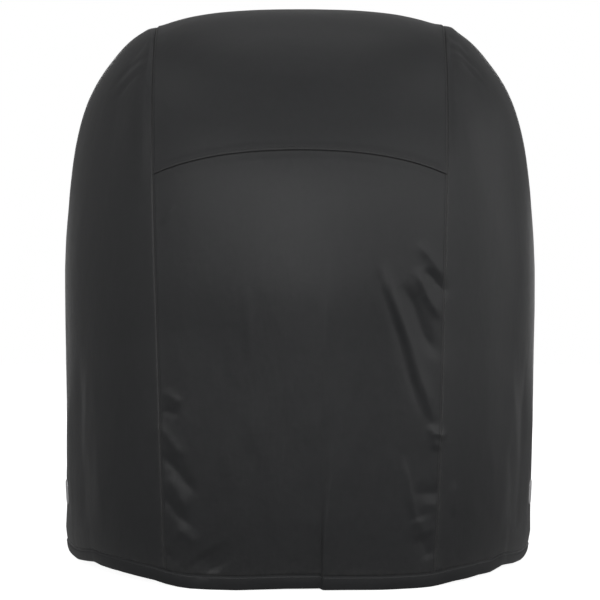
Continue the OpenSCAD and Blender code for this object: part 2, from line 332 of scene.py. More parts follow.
# How far the hem is lifted off the ground from left to right, as (x, rise), in millimetres.
HEM_RISE = [
    (-455, 0), (-418, 1), (-396, 7), (-377, 12.6), (-360, 11.4), (-349, 11.7), (-324, 12), (-300, 11),
    (-277, 10), (-254, 8.5), (-232, 4.5), (-211, 1.5), (-190, 0), (-110, 0), (-66, 1.7), (-24, 3.2),
    (33.5, 3.4), (36.5, 1.8), (60, 1.3), (100, 0.7), (140, 0), (200, 0), (226, 0.6), (248, 2.6), (270, 4.8),
    (293, 4.8), (317, 6), (342, 4.4), (356, 6), (369, 7.2), (382, 3.5), (398, -2), (420, -7.5), (455, -7.5),
]
# How far the sides stand out of the skin, left and right, as (z, left, right), in millimetres.
SIDE_SET = [
    (0, 0, -6), (6, 1.2, -9), (18, 3.5, -4.5), (57, 7.0, 0.8), (106, 4.5, -0.8), (204, 1.9, -1.7),
    (302, -1, -2.9), (400, 0, -1), (478, 1.7, 1.2), (557, 2.9, 2.4), (616, 2.3, 1.6), (675, 0.4, 0.3),
    (733, 0.2, 0.3), (792, 1.0, 1.2), (851, 1.8, 2), (880, 2, 2.2), (910, 1.5, 2), (960, 0, 0),
]
PLEAT_X, PLEAT_FOOT_X, PLEAT_TOP = 0.0356, 0.0362, 0.43  # the pleat in the middle, on the view plane
PLEAT_H = 0.0042  # how far it stands out
BADGE_ANGLE, BADGE_Y, BADGE_Z = math.radians(77), -0.071, 0.134  # plan angle and place of a badge
PATCH_Y, PATCH_Z = (-0.166, 0.172), 0.046  # places of the strap patches, front and back
BADGE_HOLDS, PATCH_HOLDS = (0.020, 0.030), (0.030, 0.024)  # half of the place that each holds flat


def along_fold(u, v, points):
    """Distance to a line of points, below 0 on its left going down it, and the share of the way along."""
    points = np.asarray(points, float) / 1000
    length = np.linalg.norm(np.diff(points, axis=0), axis=1)
    cum = np.concatenate([[0], np.cumsum(length)])
    best = np.full(u.shape, 9.0)
    signed, where = np.full(u.shape, 9.0), np.zeros(u.shape)
    for k, (a, b) in enumerate(zip(points[:-1], points[1:])):
        e = (b - a) / length[k]
        raw = (u - a[0]) * e[0] + (v - a[1]) * e[1]
        on = np.clip(raw, 0, length[k])
        du, dv = u - a[0] - on * e[0], v - a[1] - on * e[1]
        d = np.hypot(du, dv)
        near = d < best
        best = np.where(near, d, best)
        side = np.where(du * e[1] - dv * e[0] < 0, 1.0, -1.0)
        signed = np.where(near, d * side, signed)
        where = np.where(near, (cum[k] + on) / cum[-1], where)
    return signed, where


def fold_height(u, v, height, left, right, points):
    d, where = along_fold(u, v, points)
    width = np.where(d > 0, right, left) / 1000
    ends = smooth(where / 0.3) * smooth((1 - where) / 0.3)
    return height / 1000 * np.exp(-((np.abs(d) / width) ** 1.6)) * ends


def fold_relief(p, view_y, folds, flip=1):
    """Folds seen from the front (view_y = y) or, mirrored, from the back (view_y = -y)."""
    scale = VIEW_PLANE / (CAMERA_DISTANCE + view_y)
    u = flip * p[..., 0] * scale
    v = CAMERA_HEIGHT + (p[..., 2] - CAMERA_HEIGHT) * scale
    return sum(fold_height(u, v, *fold) for fold in folds), u, v


def pleat_relief(u, v):
    """The pleat is a valley with a ridge on its right, which grows and sharpens on the way down."""
    d = u - mix(PLEAT_FOOT_X, PLEAT_X, v / PLEAT_TOP)
    grow = smooth((PLEAT_TOP - v) / 0.36)
    edge = mix(0.0035, 0.026, smooth((v - 0.06) / 0.20))
    proud = np.where(d > 0, np.exp(-d / 0.034), 0) * smooth(d / edge)
    sunk = np.where(d <= 0, np.exp(d / 0.016), 1 - smooth(d / edge)) * 0.3
    return PLEAT_H * grow * (proud - sunk)


def near_box(y, z, y0, z0, half_y, half_z, fade=0.018):
    return (1 - smooth((np.abs(y - y0) - half_y) / fade)) * (1 - smooth((np.abs(z - z0) - half_z) / fade))


def fittings(p):
    """1 where the badges and strap patches hold the cloth flat, 0 elsewhere."""
    y, z = p[..., 1], p[..., 2]
    held = near_box(y, z, BADGE_Y, BADGE_Z, *BADGE_HOLDS)
    for y0 in PATCH_Y:
        held = np.maximum(held, near_box(y, z, y0, PATCH_Z, *PATCH_HOLDS))
    return held * smooth((np.abs(p[..., 0]) - 0.3) / 0.04)


def rim_relief(u, v):
    """The cloth rests on the grill's front edge and falls straight from there."""
    middle = 1 - smooth((np.abs(u) - 0.14) / 0.12)
    return middle * (0.0015 * bell(v - 0.515, 0.07) - 0.0045 * smooth((0.60 - v) / 0.28) * smooth(v / 0.30))


def hem_rise(p):
    """The cloth and its hem with every point lifted as the hem is, less and less upwards."""
    x, rise = np.array(HEM_RISE).T / 1000
    up = np.interp(p[..., 0], x, rise) * (1 - smooth(p[..., 2] / 0.28))
    return p + up[..., None] * (0, 0, 1)


def side_set(p):
    z, left, right = np.array(SIDE_SET).T / 1000
    out = np.where(p[..., 0] < 0, np.interp(p[..., 2], z, left), np.interp(p[..., 2], z, right))
    return out * smooth((np.abs(p[..., 0]) - 0.33) / 0.09)


def crown_set(p):
    """The crown's middle stands up, and so do the top panel's corners, where the sides are sewn on."""
    x, y = p[..., 0], np.abs(p[..., 1])
    corners = 0.0045 * bell(x - 0.275, 0.018) + 0.001 * bell(x + 0.272, 0.015)
    rise = 0.0034 * bell(x, 0.17) + corners * (1 - smooth((y - 0.12) / 0.1))
    return smooth((p[..., 2] - 0.90) / 0.08) * rise


TURN_Y = 0.05  # over this depth the front's and the back's folds fade out towards the sides
BACK_SHARE, BACK_STRETCH = 0.8, (1, 1, 1.03)  # the back has the front's folds, flatter and stretched a little
SIDES_FROM, SIDES_FADE = 0.27, 0.09  # where the folds of the sides set in, from the middle
SLACK_Z, SLACK_FADE = 0.62, 0.3  # below this height the cloth hangs loose
WAVE_H, WAVE_SIZE = 0.001, (0.085, 0.085, 0.36)  # the loose cloth's waves: height, and size along x, y and z
UNEVEN_TIGHT, UNEVEN_LOOSE, UNEVEN_SIZE = 0.08, 0.22, (0.026, 0.026, 0.055)  # unevenness, in mm, and its size


def relief(p):
    """How far the cloth stands out of the skin at its points, without the seams."""
    front = smooth(-p[..., 1] / TURN_Y)
    back = smooth(p[..., 1] / TURN_Y)
    seen, u, v = fold_relief(p, p[..., 1], FRONT_FOLDS)
    behind, _, _ = fold_relief(p * BACK_STRETCH, -p[..., 1], FRONT_FOLDS, -1)
    out = front * (seen + pleat_relief(u, v) + rim_relief(u, v)) + BACK_SHARE * back * behind
    sideways = smooth((np.abs(p[..., 0]) - SIDES_FROM) / SIDES_FADE)
    y = p[..., 1] * np.sign(p[..., 0] + 1e-9)  # the left side's folds are the right's, front to back
    waves = [fold_height(y, p[..., 2], height, width, width, points) for height, width, points in SIDE_FOLDS]
    out = out + sideways * sum(waves)
    slack = smooth((SLACK_Z - p[..., 2]) / SLACK_FADE)
    out = out + slack * WAVE_H * noise(p, WAVE_SIZE, 0)
    out = out + mix(UNEVEN_TIGHT, UNEVEN_LOOSE, slack) / 1000 * noise(p, UNEVEN_SIZE, 1)
    return out * (1 - fittings(p)) + side_set(p) + crown_set(p)


SEAM_DEPTH, SEAM_HALF = 0.0015, 0.0014  # depth and half width of the dip along a seam
RIDGE = 0.0004  # height of the ridge beside it


def stand_out(points, normals, height):
    """Points of the finished cloth, a height above its relief."""
    return hem_rise(points + (relief(points) + height)[..., None] * normals)


def hem_dip(d):
    """The stitch line at the top of the hem pulls the cloth in, at distance d from it."""
    return -0.0016 * np.exp(-((d / 0.0018) ** 2))


def seam_relief(d, ridge):
    """Relief at distance d from a seam: the stitched edge dips, and the cloth behind it is a low ridge."""
    band = smooth((d - 0.001) / 0.004) * (1 - smooth((d - 0.0085) / 0.006))
    return ridge * band - SEAM_DEPTH * bell(d, SEAM_HALF)


# ---------------------------------------------------------------- grids
NEAR_ENDS = np.array([0, 0.0005, 0.0011, 0.0018, 0.0028, 0.0042, 0.0062, 0.0090, 0.012, 0.015])
NEAR_PLEAT = np.array([-0.006, -0.0035, -0.0016, -0.0006, 0, 0.0006, 0.0012, 0.0019, 0.0027, 0.004, 0.007])
LEAST_GAP = 0.0008


def stations(length, step, extra=()):
    """Distances along a length that lie close together near both ends and around extra places."""
    ends = NEAR_ENDS
    between = np.linspace(ends[-1], length - ends[-1], max(int((length - 2 * ends[-1]) / step), 2) + 1)
    at = [ends, between[1:-1], length - ends[::-1]]
    for place in extra:
        near = place + NEAR_PLEAT
        at = [a[(a < near[0] - LEAST_GAP) | (a > near[-1] + LEAST_GAP)] for a in at] + [near]
    return np.sort(np.concatenate(at))


def side_distance(points):
    across = cumulative(points)
    return np.minimum(across, across[-1:] - across)


def edge_distance(points, skip_low=False):
    """Distance along the cloth to the nearest of the grid's edges; the hem edge may be left out."""
    up = cumulative(points, 1)
    nearest = np.minimum(side_distance(points), up[:, -1:] - up)
    return nearest if skip_low else np.minimum(nearest, up)


def middle_across(kind):
    """Places across a middle panel, -1 at the left seam and 1 at the right, closer at the front's pleat."""
    width = 2 * SEAM_HEM_X
    is_front = kind == "front"
    columns = stations(width, STEP if is_front else PLAIN_STEP, [SEAM_HEM_X + PLEAT_X] if is_front else [])
    return 2 * (columns / width) - 1


def middle_patch(kind, t_low, t_high, length):
    """A panel between the long seams, as skin points and its outer face: columns go right, rows go up.
    t_low and t_high give its lower and upper edge from the bow."""
    across = middle_across(kind)[:, None]
    rows = stations(length, STEP if kind == "front" else PLAIN_STEP) / length
    t = mix(t_low(across**2), t_high(across**2), rows[None, :])
    points, normals = skin_and_normal(seam_angle(s_of(t), across), t)
    sides, up = side_distance(points), cumulative(points, 1)
    down = up[:, -1:] - up
    arc, hem = {"front": (down, up), "back": (up, down), "top": (np.minimum(up, down), None)}[kind]
    proud = 0.0007 if kind == "top" else -0.0003
    lap = proud * (1 - smooth((arc - 0.006) / 0.010)) * smooth(sides / 0.006)
    outer = stand_out(points, normals, seam_relief(sides, RIDGE) + lap)
    if hem is not None:
        dip = hem_dip(hem) - 0.001 * bell(arc, SEAM_HALF) * smooth(sides / 0.004)
        outer = outer + dip[..., None] * normals
    return points, outer


def resampled(angle, t, shares):
    """Plan angles and t of a path at shares of its length on the skin."""
    cum = cumulative(skin(angle, t))
    picks = np.interp(shares, cum / cum[-1], np.arange(len(cum)))
    new_angle, new_t = picked(angle, picks), picked(t, picks)
    at_side = np.abs(new_angle - math.pi / 2) < 1e-6
    return new_angle, np.where(at_side, np.where(new_t > 1, t[-1], t[0]), new_t)


FINE = np.linspace(0, 1, 1200)


def hem_path(s):
    """Plan angles and t once round a side at a level s, from the front seam to the back seam."""
    out = mix(float(seam_angle(s)), math.pi / 2, FINE)
    return np.concatenate([out, out[::-1]]), np.repeat([s, 2.0 - s], len(out))


SIDE_ROUND, SIDE_UP = 0.70, 0.80  # lengths that the side's stations are laid out for
CAST_X, CAST_Z = 0.12, 0.62  # the side's points are cast out from here, level below CAST_Z
CAST_NEAR, CAST_FAR, HALVINGS = 0.6, 1.9, 34  # the search for the skin, in shares of the flat patch


def side_skin():
    """The right side panel's skin points and normals, and its shares of the way round: a patch stretched
    between the panel's four edges and cast out onto the skin."""
    round_shares = stations(SIDE_ROUND, SIDE_STEP) / SIDE_ROUND
    up_shares = stations(SIDE_UP, SIDE_STEP) / SIDE_UP
    s_up, t_over = mix(HEM_S, SHOULDER_S, FINE), mix(SHOULDER_S, 2 - SHOULDER_S, FINE)
    edges = {
        "hem": resampled(*hem_path(HEM_S), round_shares),
        "over": resampled(seam_angle(s_of(t_over)), t_over, round_shares),
        "front": resampled(seam_angle(s_up), s_up, up_shares),
        "back": resampled(seam_angle(s_up), 2 - s_up, up_shares),
    }
    at = {name: skin(*edge) for name, edge in edges.items()}
    hem, over = at["hem"][:, None], at["over"][:, None]
    front, back = at["front"][None], at["back"][None]
    u, v = round_shares[:, None, None], up_shares[None, :, None]
    corners = mix(mix(hem[:1], hem[-1:], u), mix(over[:1], over[-1:], u), v)
    flat = mix(front, back, u) + mix(hem, over, v) - corners
    zero = 0 * flat[..., 0]
    centre = np.stack([zero + CAST_X, zero, np.minimum(flat[..., 2], CAST_Z)], -1)
    ray = flat - centre
    near, far = zero + CAST_NEAR, zero + CAST_FAR
    for _ in range(HALVINGS):
        half = (near + far) / 2
        out = outside(centre + ray * half[..., None])
        near, far = np.where(out, near, half), np.where(out, half, far)
    points = centre + ray * ((near + far) / 2)[..., None]
    points[:, 0], points[:, -1], points[0], points[-1] = at["hem"], at["over"], at["front"], at["back"]
    n = grid_normals(points)
    n[:, 0], n[:, -1] = skin_normal(*edges["hem"]), skin_normal(*edges["over"])
    n[0], n[-1] = skin_normal(*edges["front"]), skin_normal(*edges["back"])
    return points, n, round_shares


PUFF = 0.0042


def side_outer(points, normals, sign):
    """Outer face of the right (sign 1) or left (sign -1) side; its shoulders puff out by the seams."""
    distance = edge_distance(points, skip_low=True)
    puff = PUFF * smooth(distance / 0.03) * (1 - smooth((distance - 0.05) / 0.08))
    puff = puff * smooth((points[..., 2] - 0.66) / 0.16)
    height = seam_relief(distance, 0.0) + puff + hem_dip(cumulative(points, 1))
    return stand_out(points * (sign, 1, 1), normals * (sign, 1, 1), height)[::sign]


# ---------------------------------------------------------------- materials
class Nodes:
    """A small helper that adds shader nodes and joins them."""

    def __init__(self, name, **sockets):
        self.material = bpy.data.materials.new(name)
        self.material.use_nodes = True
        self.tree = self.material.node_tree
        self.shader = self.tree.nodes["Principled BSDF"]
        for socket, value in sockets.items():
            self.shader.inputs[socket.replace("_", " ")].default_value = value
        self.place = self.add("ShaderNodeTexCoord").outputs["Object"]
        self.bump = None

    def add(self, kind, inputs=None, **settings):
        node = self.tree.nodes.new(kind)
        for key, value in settings.items():
            setattr(node, key, value)
        for key, value in (inputs or {}).items():
            if isinstance(value, bpy.types.NodeSocket):
                self.tree.links.new(value, node.inputs[key])
            else:
                node.inputs[key].default_value = value
        return node

    def maths(self, operation, a, b=0.0, c=0.0):
        return self.add("ShaderNodeMath", {0: a, 1: b, 2: c}, operation=operation).outputs[0]

    def stretch(self, by):
        return self.add("ShaderNodeMapping", {"Vector": self.place, "Scale": by}).outputs[0]

    def noise(self, size, detail=3.0, stretch=None, rough=0.55):
        """Noise from 0 to 1 with features of a size in metres."""
        where = self.stretch(stretch) if stretch else self.place
        sockets = {"Vector": where, "Scale": 1 / size, "Detail": detail, "Roughness": rough}
        return self.add("ShaderNodeTexNoise", sockets).outputs["Fac"]

    def ranged(self, value, low, high, start=0.25, end=0.75):
        sockets = {"Value": value, "From Min": start, "From Max": end, "To Min": low, "To Max": high}
        return self.add("ShaderNodeMapRange", sockets).outputs["Result"]

    def flat_place(self):
        """The piece's own flat coordinates in metres."""
        uv = self.add("ShaderNodeUVMap", uv_map="weave").outputs[0]
        return self.add("ShaderNodeSeparateXYZ", {0: uv}).outputs

    def weave(self, pitch, slant=0.0):
        """Height of a plain weave, from -1 to 1."""
        parts = self.flat_place()
        u = self.maths("MULTIPLY_ADD", parts[1], slant, parts[0])
        waves = [self.maths("SINE", self.maths("MULTIPLY", v, math.pi / pitch)) for v in (u, parts[1])]
        return self.maths("MULTIPLY", *waves)

    def ribs(self, pitch):
        return self.maths("SINE", self.maths("MULTIPLY", self.flat_place()[0], 2 * math.pi / pitch))

    def raise_by(self, height, distance, strength=1.0):
        sockets = {"Height": height, "Distance": distance, "Strength": strength}
        if self.bump:
            sockets["Normal"] = self.bump
        self.bump = self.add("ShaderNodeBump", sockets).outputs[0]

    def colour(self, base, shade, wear=None, worn=None):
        """Base colour times a shade value, worn towards another colour where wear is 1."""
        out = self.mixed(1.0, (*base, 1), shade, "MULTIPLY")
        if wear:
            out = self.mixed(wear, out, (*worn, 1))
        self.link(out, "Base Color")

    def mixed(self, factor, a, b, blend="MIX"):
        sockets = {0: factor, 6: a, 7: b}
        return self.add("ShaderNodeMix", sockets, data_type="RGBA", blend_type=blend).outputs[2]

    def link(self, value, socket):
        self.tree.links.new(value, self.shader.inputs[socket])

    def done(self):
        if self.bump:
            self.link(self.bump, "Normal")
        return self.material


def cloth_material(name, base, roughness, worn, sheen=0.12):
    """Coated polyester cloth: plain weave, fine wrinkles, uneven dye, and dust where the cloth rubs."""
    m = Nodes(name, Specular_IOR_Level=0.5, Sheen_Weight=sheen, Sheen_Roughness=0.5)
    broad = m.noise(0.16, 2.0, (1, 1, 0.35))
    mottle = m.noise(0.012, 4.0)
    shade = m.maths("MULTIPLY", m.ranged(broad, 0.93, 1.07), m.ranged(mottle, 0.93, 1.07))
    grains = m.ranged(m.noise(0.007, 5.0, rough=0.7), 0.1, 1.0, 0.35, 0.7)
    rubbed = m.maths("MULTIPLY", m.add("ShaderNodeAttribute", attribute_name="wear").outputs["Fac"], grains)
    m.colour(base, shade, rubbed, worn)
    uneven = m.ranged(mottle, -0.03, 0.03)
    dull = m.maths("ADD", m.ranged(broad, roughness - 0.03, roughness + 0.03), uneven)
    m.link(m.maths("MULTIPLY_ADD", rubbed, 0.15, dull), "Roughness")
    m.raise_by(m.noise(0.045, 3.0, (1, 1, 0.5)), 0.0009)
    m.raise_by(m.noise(0.008, 4.0), 0.00012)
    m.raise_by(m.weave(0.0007), 0.000035)
    return m.done()


def webbing_material():
    m = Nodes("webbing", Roughness=0.6, Sheen_Weight=0.35, Sheen_Roughness=0.4)
    rib = m.ribs(0.0022)
    # The ribs darken the colour in their valleys and lighten it on their crests: painted shade and painted
    # highlight. The noise is the webbing's own uneven tone.
    shade = m.maths("MULTIPLY", m.ranged(rib, 0.7, 1.15, -1, 1), m.ranged(m.noise(0.004), 0.85, 1.15))
    m.colour((0.016, 0.016, 0.017), shade)
    m.raise_by(rib, 0.00018)
    m.raise_by(m.weave(0.0011, 0.6), 0.00008)
    return m.done()


def tape_material():
    m = Nodes("seam_tape", Roughness=0.55, Sheen_Weight=0.2, Sheen_Roughness=0.4)
    m.colour((0.020, 0.020, 0.022), m.ranged(m.noise(0.010), 0.85, 1.15))
    m.raise_by(m.weave(0.0009, 0.3), 0.00008)
    m.raise_by(m.noise(0.02), 0.0003)
    return m.done()


def thread_material():
    m = Nodes("thread", Roughness=0.5, Sheen_Weight=0.3, Sheen_Roughness=0.3)
    m.colour((0.024, 0.024, 0.026), m.ranged(m.noise(0.0015), 0.75, 1.25))
    m.raise_by(m.noise(0.0007, 2.0), 0.0001)
    return m.done()


def pile_material():
    m = Nodes("loop_pile", Roughness=0.9, Sheen_Weight=0.6, Sheen_Roughness=0.35)
    loops = m.add("ShaderNodeTexVoronoi", {"Vector": m.place, "Scale": 1100.0}).outputs["Distance"]
    m.colour((0.022, 0.022, 0.024), m.ranged(loops, 1.25, 0.6, 0.1, 0.8))
    m.raise_by(loops, 0.0006)
    m.raise_by(m.noise(0.005), 0.0005)
    return m.done()


def hook_material():
    m = Nodes("hook_tape", Specular_IOR_Level=0.5)
    dust = m.noise(0.006, 4.0)
    m.colour((0.018, 0.018, 0.020), m.ranged(dust, 0.8, 1.3))
    m.link(m.ranged(dust, 0.28, 0.45), "Roughness")
    m.raise_by(m.noise(0.0012), 0.00005)
    return m.done()


def badge_material_with_painted_shine():
    m = Nodes("badge_metal", Metallic=0.15, Anisotropic=0.4)
    brush = m.noise(0.010, 4.0, (1, 1, 0.03), 0.7)
    tarnish = m.noise(0.009, 4.0)
    # Near-white colour: partly the badge's own silver, partly a painted reflection of the bright studio. The
    # tarnish noise is its own uneven tone.
    m.colour((0.93, 0.93, 0.94), m.ranged(tarnish, 0.90, 1.04))
    m.link(m.maths("ADD", m.ranged(brush, 0.22, 0.34), m.ranged(tarnish, 0.06, -0.02)), "Roughness")
    m.raise_by(brush, 0.00003)
    return m.done()


def satin_material():
    m = Nodes("label_satin", Sheen_Weight=0.3, Sheen_Roughness=0.3)
    crease_height_and_painted_shade = m.noise(0.012, 3.0)
    # The colour follows the creases' bump and is darker in their hollows: painted shade. The creases also set
    # roughness and bump.
    m.colour((0.78, 0.78, 0.76), m.ranged(crease_height_and_painted_shade, 0.90, 1.04))
    m.link(m.ranged(crease_height_and_painted_shade, 0.30, 0.45), "Roughness")
    m.raise_by(m.weave(0.0005), 0.00002)
    m.raise_by(crease_height_and_painted_shade, 0.0004)
    return m.done()


cover_fabric = cloth_material("cover_fabric", (0.030, 0.031, 0.033), 0.34, (0.075, 0.074, 0.072))
# The hem is the cover's own cloth, turned under. Its darker base colour is painted shade on the low hem band,
# and it is also a little rougher.
hem_fabric = cloth_material("hem_fabric", (0.026, 0.027, 0.029), 0.40, (0.080, 0.077, 0.072))
coated_back = cloth_material("coated_back", (0.020, 0.020, 0.022), 0.30, (0.045, 0.045, 0.045), 0.0)
webbing, tape_cloth, thread = webbing_material(), tape_material(), thread_material()
loop_pile, hook_plastic = pile_material(), hook_material()
badge_metal, label_satin = badge_material_with_painted_shine(), satin_material()


# ---------------------------------------------------------------- meshes
def in_scene(name, data):
    obj = bpy.data.objects.new(name, data)
    bpy.context.scene.collection.objects.link(obj)
    return obj


def new_object(name, vertices, faces, material, smooth_faces=True, sharp=None, uv=None, wear=None):
    mesh = bpy.data.meshes.new(name)
    mesh.from_pydata(np.asarray(vertices).tolist(), [], faces)
    mesh.update()
    if smooth_faces:
        mesh.polygons.foreach_set("use_smooth", [True] * len(mesh.polygons))
    if sharp is not None:
        flags = [tuple(sorted(e.vertices)) in sharp for e in mesh.edges]
        mesh.attributes.new("sharp_edge", "BOOLEAN", "EDGE").data.foreach_set("value", flags)
    if uv is not None:
        layer = mesh.uv_layers.new(name="weave")
        index = np.empty(len(mesh.loops), int)
        mesh.loops.foreach_get("vertex_index", index)
        layer.data.foreach_set("uv", np.asarray(uv)[index].ravel())
    if wear is not None:
        mesh.attributes.new("wear", "FLOAT", "POINT").data.foreach_set("value", wear)
    mesh.materials.append(material)
    return in_scene(name, mesh)


def loop_edges(ids):
    return {tuple(sorted(edge)) for edge in zip(ids, ids[1:] + ids[:1])}


def sheet_mesh(name, outer, thickness, material, wear=None, lining=None):
    """A closed thin sheet from a grid of points: outer face, inner face and rim."""
    columns, rows = outer.shape[:2]
    inner = outer - thickness * grid_normals(outer)
    vertices = np.concatenate([outer.reshape(-1, 3), inner.reshape(-1, 3)])
    count = columns * rows
    ids = np.arange(count).reshape(columns, rows)
    a, b, c, d = ids[:-1, :-1], ids[1:, :-1], ids[1:, 1:], ids[:-1, 1:]
    face = np.stack([a, b, c, d], -1).reshape(-1, 4)
    rim = np.concatenate([ids[:, 0], ids[-1, 1:], ids[-2::-1, -1], ids[0, -2:0:-1]])
    after = np.roll(rim, -1)
    walls = np.stack([after, rim, rim + count, after + count], -1)
    faces = np.concatenate([face, face[:, ::-1] + count, walls])
    sharp = loop_edges(rim.tolist())
    sharp |= {(i + count, j + count) for i, j in sharp}
    uv = np.stack([cumulative(outer, 0), cumulative(outer, 1)], -1).reshape(-1, 2)
    wear = None if wear is None else np.tile(wear.ravel(), 2)
    obj = new_object(name, vertices, faces.tolist(), material, True, sharp, np.tile(uv, (2, 1)), wear)
    if lining:
        obj.data.materials.append(lining)
        inside = np.zeros(len(faces), int)
        inside[len(face) : 2 * len(face)] = 1
        obj.data.polygons.foreach_set("material_index", inside)
    return obj


def behind_yoke_t(bow):
    return 2 - yoke_s(bow)


MIDDLE_UP, TOP_UP = 0.76, 0.95  # lengths that the middle panels' rows are laid out for
side_points, side_normals, side_shares = side_skin()
side_outers = {sign: side_outer(side_points, side_normals, sign) for sign in SIDES.values()}
panels = {
    "front_panel": middle_patch("front", lambda bow: HEM_S + 0 * bow, yoke_s, MIDDLE_UP),
    "top_panel": middle_patch("top", yoke_s, behind_yoke_t, TOP_UP),
    "back_panel": middle_patch("back", behind_yoke_t, lambda bow: 2 - HEM_S + 0 * bow, MIDDLE_UP),
    "right_side_panel": (side_points, side_outers[1]),
    "left_side_panel": (side_points[::-1], side_outers[-1]),
}


def placed(piece, node=None, body=BODY):
    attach(piece, body)
    if node:
        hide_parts(node)
    return piece


def rubbed(points):
    """Wear of the panels: along their edges, low down and on the shoulders."""
    edge = edge_distance(points)
    low = 0.25 * smooth((0.10 - points[..., 2]) / 0.10)
    return np.clip(0.55 * np.exp(-edge / 0.004) + low, 0, 1)


for name, (points, outer) in panels.items():
    piece = sheet_mesh(name + "_cloth", outer, CLOTH_T, cover_fabric, rubbed(points), coated_back)
    placed(piece, name)


# ---------------------------------------------------------------- hems, tapes and stitches
def ring_mesh(name, rings, material):
    """A closed solid from closed cross-sections: rings has the shape (along, around, 3)."""
    count, around = rings.shape[:2]
    ids = np.arange(count * around).reshape(count, around)
    a, b = ids[:-1], ids[1:]
    faces = np.stack([a, b, np.roll(b, -1, 1), np.roll(a, -1, 1)], -1).reshape(-1, 4).tolist()
    faces += [ids[0].tolist(), ids[-1][::-1].tolist()]
    sharp = loop_edges(ids[0].tolist()) | loop_edges(ids[-1].tolist())
    uv = np.stack([cumulative(rings, 0), cumulative(rings, 1)], -1).reshape(-1, 2)
    return new_object(name, rings.reshape(-1, 3), faces, material, True, sharp, uv)


HEM_LEVELS = [0, 0.0003, 0.0009, 0.0017, 0.003, 0.006, 0.010, 0.0145, 0.0185, 0.0205, 0.0216, 0.0224]
HEM_LEVELS += [0.0231, 0.0236, HEM_H]
HEM_PROUD, HEM_FULL = 0.001, 0.0007  # how far the hem stands out, and how much fuller its middle is
HEM_ROLL, ROLL_OUT, ROLL_IN = 0.0022, 0.0011, 0.0008  # the rounded lower edge: height, depth on each face
HEM_LIP = 0.0012  # the folded upper edge stands this far above the stitched line and behind the panel


def hem_offset(z):
    """Outer face of the turned hem against the skin, at a height above its lower edge."""
    from_top = HEM_H - z
    proud = HEM_PROUD * smooth(from_top / 0.0024) + HEM_FULL * bell(z - HEM_H / 2, 0.008)
    return proud + hem_dip(from_top) - ROLL_OUT * (1 - smooth(z / HEM_ROLL))


def hem_rings(angle_t, sign=1):
    """Cross-sections of a hem from a function that gives plan angles and t at a level s."""
    outer, inner = [], []
    for z in HEM_LEVELS:
        points, normals = skin_and_normal(*angle_t(float(s_at(z))), sign)
        back_off = -HEM_T + ROLL_IN * (1 - smooth(z / HEM_ROLL)) - HEM_LIP * smooth((z - 0.018) / 0.006)
        outer.append(stand_out(points, normals, hem_offset(z)))
        inner.append(stand_out(points, normals, back_off) + (0, 0, HEM_LIP if z == HEM_H else 0))
    return np.stack(outer + inner[::-1], axis=1)[::sign]


STITCH_STEP, STITCH_LENGTH, STITCH_R, STITCH_SIDES = 0.0036, 0.0029, 0.00042, 6
STITCH_UP, STITCH_SINK = 0.00012, 0.0003  # its middle's height above the cloth, and how far its ends sink


def stitch_picks(points):
    """Places in a row of points, one for each stitch."""
    cum = cumulative(points)
    marks = np.arange(STITCH_STEP, cum[-1] - STITCH_STEP, STITCH_STEP)
    return np.interp(marks, cum, np.arange(len(cum)))


def seam_path(d, sign):
    """Points and normals of the displaced cloth along a long seam at distance d on the middle's side."""

    def angle_at(t):
        return np.arcsin((seam_x(s_of(t)) - d) / HALF_W)

    t = np.linspace(HEM_S, 2 - HEM_S, 2400)
    t = picked(t, stitch_picks(skin(angle_at(t), t)))
    points, normals = skin_and_normal(angle_at(t), t, sign)
    return stand_out(points, normals, seam_relief(d, RIDGE)), normals


def above_arc(across, rise):
    """Share of the way from hem to crown of the places a distance above the arc seam."""
    s, ds = yoke_s(across**2), 0.004
    here, above = skin(seam_angle(s, across), s), skin(seam_angle(s + ds, across), s + ds)
    return s + ds * rise / np.linalg.norm(above - here, axis=-1)


def arc_path(rise, back):
    """The same along an arc seam, at a distance above it."""
    lap = 0.0007
    across = np.linspace(-0.975, 0.975, 1600)
    s = above_arc(across, rise)
    picks = stitch_picks(skin(seam_angle(s, across), s))
    s, across = picked(s, picks), picked(across, picks)
    points, normals = skin_and_normal(seam_angle(s, across), 2 - s if back else s)
    return stand_out(points, normals, lap), normals


def hem_path_points(z, angle_t, sign=1):
    """The same along a hem, at a height above its lower edge."""
    angle, t = angle_t(float(s_at(z)))
    picks = stitch_picks(skin(angle, t))
    points, normals = skin_and_normal(picked(angle, picks), t[np.round(picks).astype(int)], sign)
    return stand_out(points, normals, hem_offset(z)), normals


def stitches(name, paths):
    """Short threads lying along paths of (points, normals), one at each point."""
    profile = [(-0.45, 0.6), (-0.25, 1.0), (0.25, 1.0), (0.45, 0.6)]  # shares of length and thickness
    turn = np.arange(STITCH_SIDES) * 2 * math.pi / STITCH_SIDES
    vertices, faces, base = [], [], 0
    for points, normals in paths:
        tangents = unit(np.gradient(points, axis=0))
        across = np.cross(normals, tangents)
        for p, n, t, b in zip(points + STITCH_UP * normals, normals, tangents, across):
            circle = np.cos(turn)[:, None] * b + np.sin(turn)[:, None] * n
            for along, radius in profile:
                sink = STITCH_SINK * (abs(along) > 0.3) * n
                vertices.append(p + along * STITCH_LENGTH * t + STITCH_R * radius * circle - sink)
            for k in range(3):
                for i in range(STITCH_SIDES):
                    j = (i + 1) % STITCH_SIDES
                    low = base + k * STITCH_SIDES
                    faces.append((low + i, low + j, low + STITCH_SIDES + j, low + STITCH_SIDES + i))
            faces.append(tuple(base + i for i in reversed(range(STITCH_SIDES))))
            faces.append(tuple(base + 3 * STITCH_SIDES + i for i in range(STITCH_SIDES)))
            base += 4 * STITCH_SIDES
    return new_object(name, np.concatenate(vertices), faces, thread)


def front_hem(s):
    across = middle_across("front")
    return seam_angle(s, across), s + 0 * across


